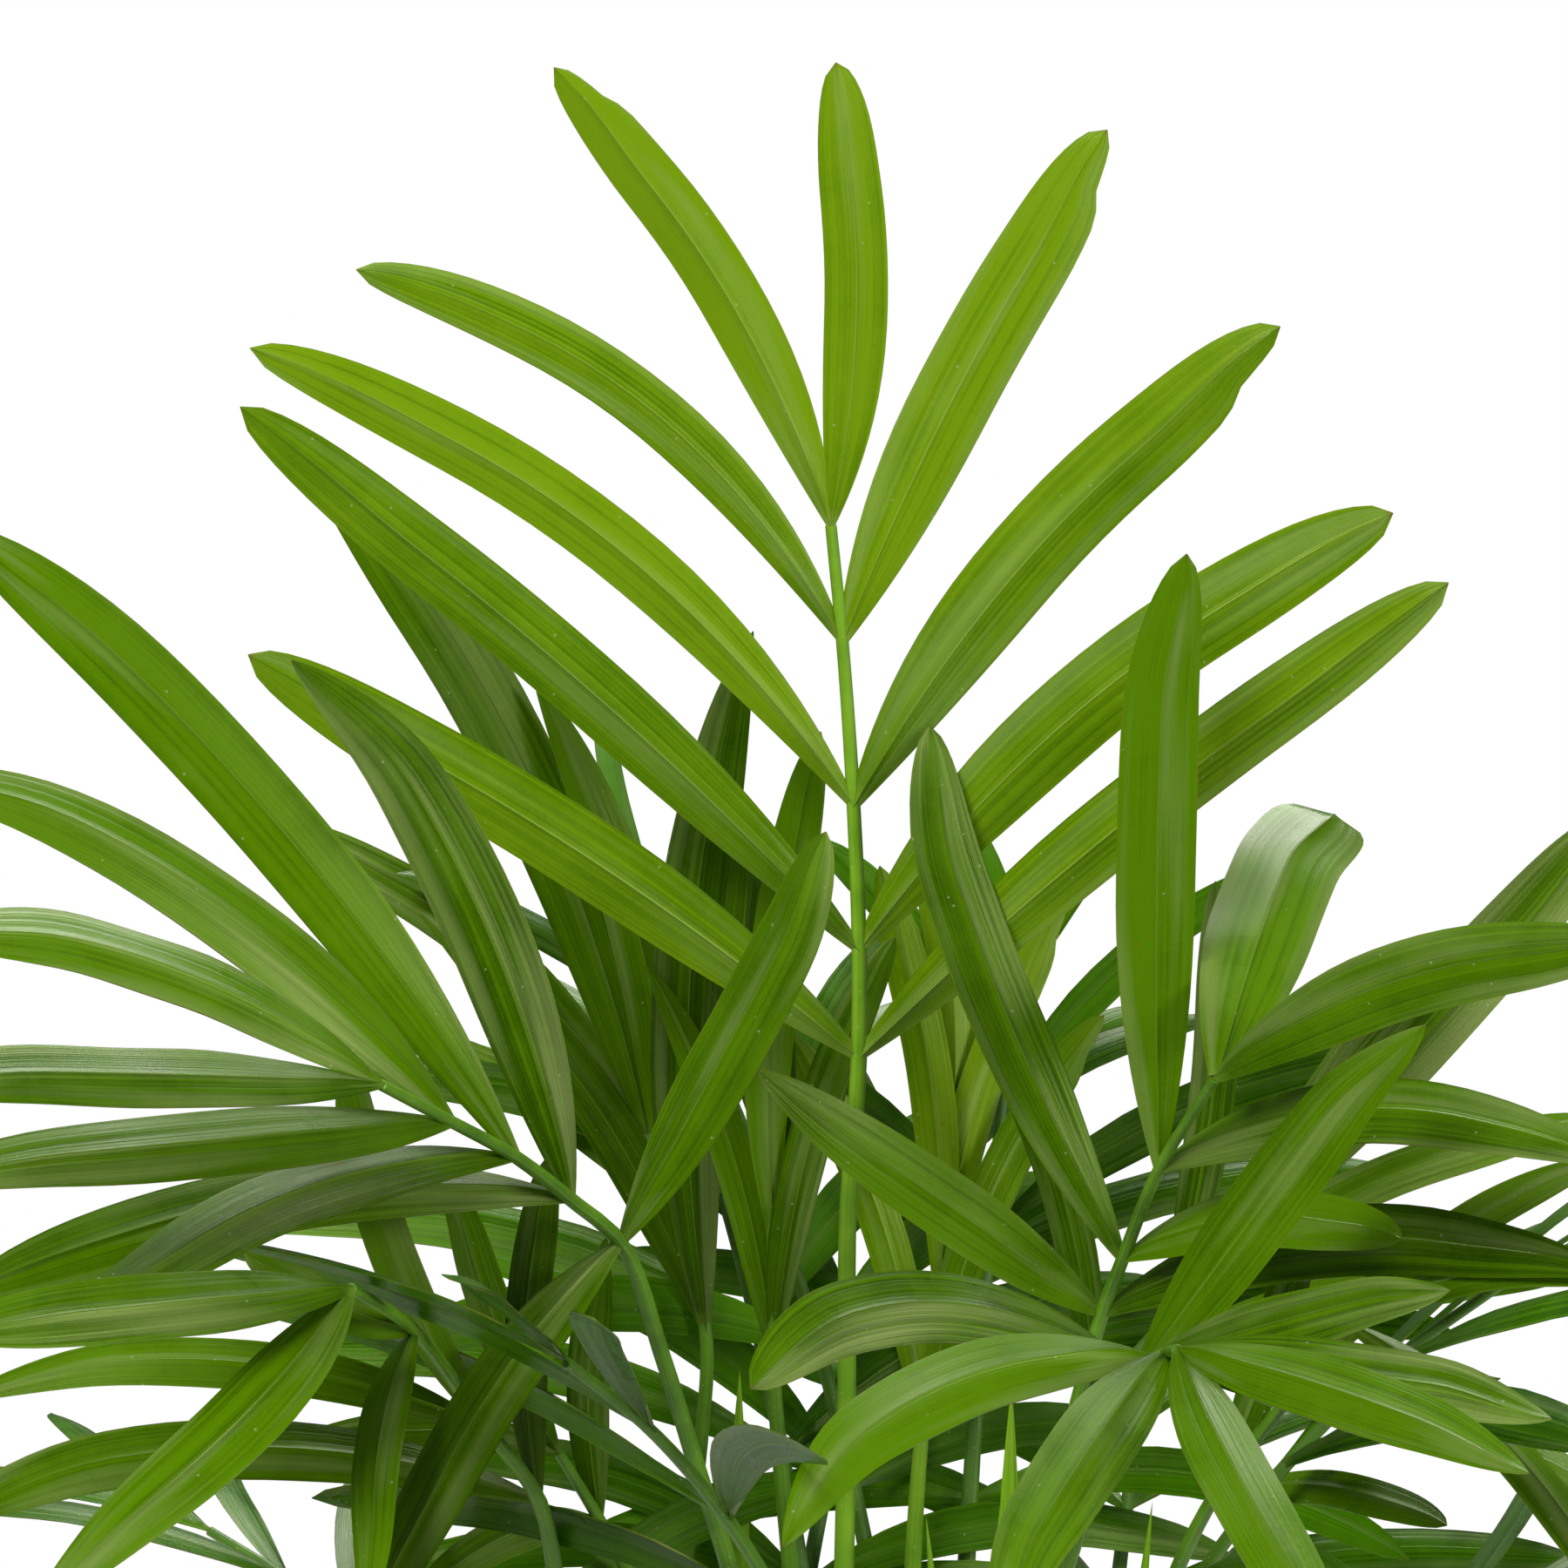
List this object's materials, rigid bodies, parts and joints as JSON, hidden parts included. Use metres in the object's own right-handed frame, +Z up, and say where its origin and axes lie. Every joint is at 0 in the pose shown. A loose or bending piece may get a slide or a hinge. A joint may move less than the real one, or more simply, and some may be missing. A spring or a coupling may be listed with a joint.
{
  "type": "potted palm",
  "caption": "Bushy young parlour palm: slender canes with arching feathered fronds, standing in soil in a plain tapered terracotta pot.",
  "frame": {"origin": "middle of the pot's flat foot, on the surface that it stands on", "axes": "+Z up through the pot's axis, -Y towards the plant's front, where the tall central frond shows its face, +X to the right seen from the front"},
  "size_m": [0.3738, 0.346, 0.519],
  "materials": {
    "terracotta": "matte fired clay",
    "potting_mix": "matte, crumbly",
    "cane": "satin, ringed with leaf scars",
    "spear_leaf": "satin, folded",
    "leaf": "satin, finely veined"
  },
  "bodies": {
    "root": {"pot": "terracotta", "soil": "potting_mix", "cane_centre": "cane", "cane_right": "cane", "cane_front_right": "cane", "cane_left": "cane", "cane_low_left": "cane", "cane_back_left": "cane", "cane_back_right": "cane", "cane_far_right": "cane", "spear_right": "spear_leaf", "spear_front_right": "spear_leaf", "spear_back_left": "spear_leaf", "spear_far_right": "spear_leaf", "frond_centre": "leaf", "frond_right": "leaf", "frond_front_right": "leaf", "frond_left": "leaf", "frond_low_left": "leaf", "frond_small_left": "leaf", "frond_back_left": "leaf", "frond_inner_left": "leaf", "frond_inner_right": "leaf", "frond_back_right": "leaf", "frond_far_right": "leaf", "frond_outer_1": "leaf", "frond_outer_2": "leaf", "frond_outer_3": "leaf", "frond_outer_4": "leaf", "frond_outer_5": "leaf", "frond_outer_6": "leaf", "frond_middle_1": "leaf", "frond_middle_2": "leaf", "frond_middle_3": "leaf", "frond_middle_4": "leaf", "frond_upper_1": "leaf", "frond_upper_2": "leaf"}
  },
  "joints": []
}
